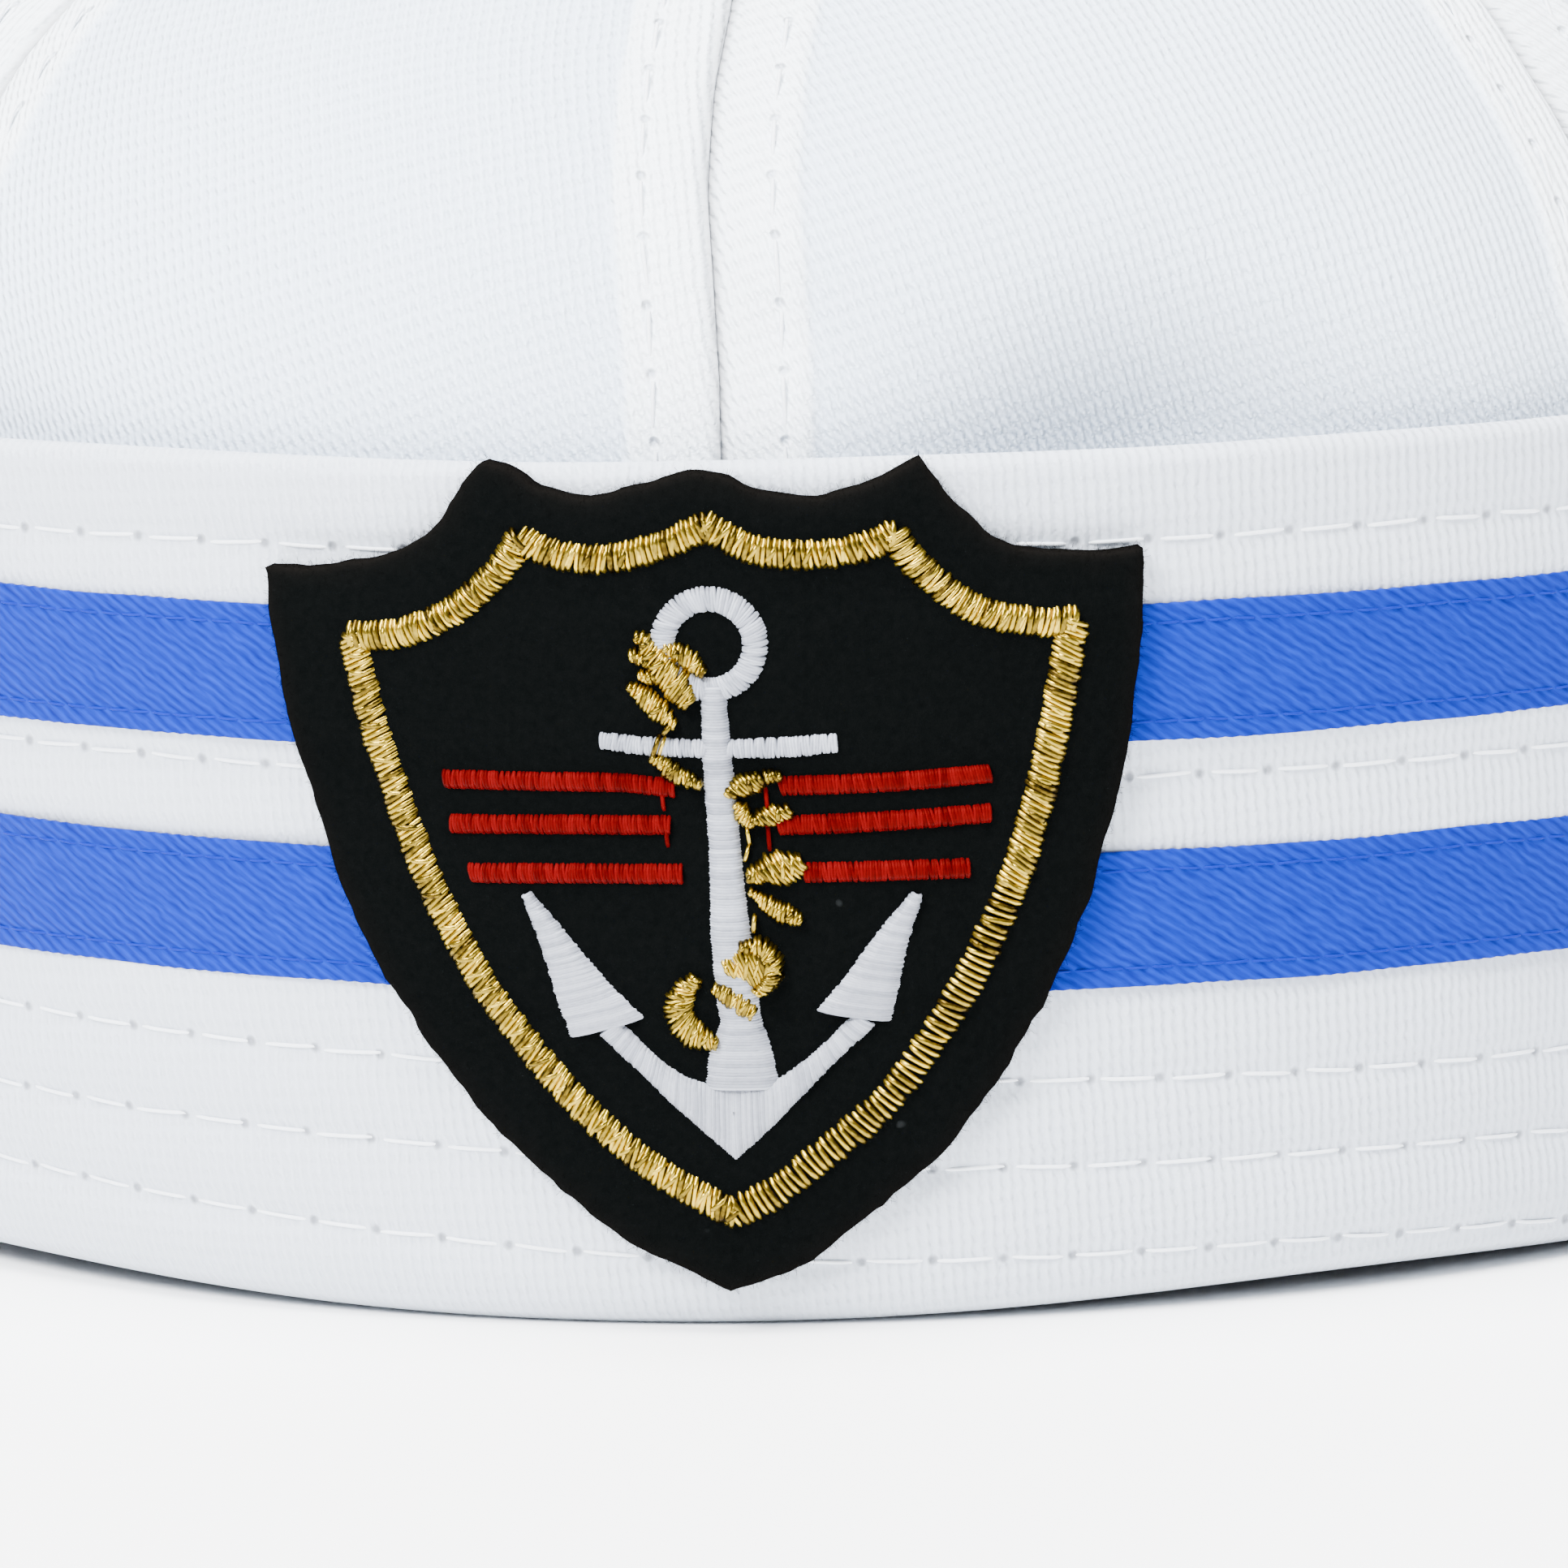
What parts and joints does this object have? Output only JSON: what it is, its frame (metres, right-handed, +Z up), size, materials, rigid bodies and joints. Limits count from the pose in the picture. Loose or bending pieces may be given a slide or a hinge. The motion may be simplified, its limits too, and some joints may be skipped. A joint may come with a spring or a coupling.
{
  "type": "captain hat",
  "caption": "Soft white gored cotton cap with a stiff turned-up quilted brim, blue ribbons and an embroidered anchor badge.",
  "frame": {"origin": "on the surface the hat rests on, under the middle of its bounding box", "axes": "+Z up, the badge at the front faces -Y, +X is the wearer's left"},
  "size_m": [0.1974, 0.215, 0.1121],
  "materials": {
    "brim_cotton": "white cotton twill, quilted with rows of topstitching",
    "crown_cotton": "soft white cotton twill, matt",
    "satin_ribbon": "blue satin ribbon, silky",
    "black_felt": "black felt, matt",
    "gold_thread": "metallic gold satin stitch",
    "white_thread": "white satin stitch",
    "red_thread": "red satin stitch"
  },
  "bodies": {
    "root": {"brim": "brim_cotton", "ribbon_upper": "satin_ribbon", "ribbon_lower": "satin_ribbon", "gore_1": "crown_cotton", "gore_2": "crown_cotton", "gore_3": "crown_cotton", "gore_4": "crown_cotton", "gore_5": "crown_cotton", "gore_6": "crown_cotton", "gore_7": "crown_cotton", "gore_8": "crown_cotton", "patch": "black_felt", "patch_border": "gold_thread", "rope_ring": "gold_thread", "rope_tail": "gold_thread", "rope_turn_1": "gold_thread", "rope_turn_2": "gold_thread", "rope_turn_3": "gold_thread", "rope_turn_4": "gold_thread", "rope_turn_5": "gold_thread", "rope_loop": "gold_thread", "rope_cross": "gold_thread", "rope_end": "gold_thread", "anchor": "white_thread", "bar_left_top": "red_thread", "bar_right_top": "red_thread", "bar_left_middle": "red_thread", "bar_right_middle": "red_thread", "bar_left_bottom": "red_thread", "bar_right_bottom": "red_thread"}
  },
  "joints": []
}
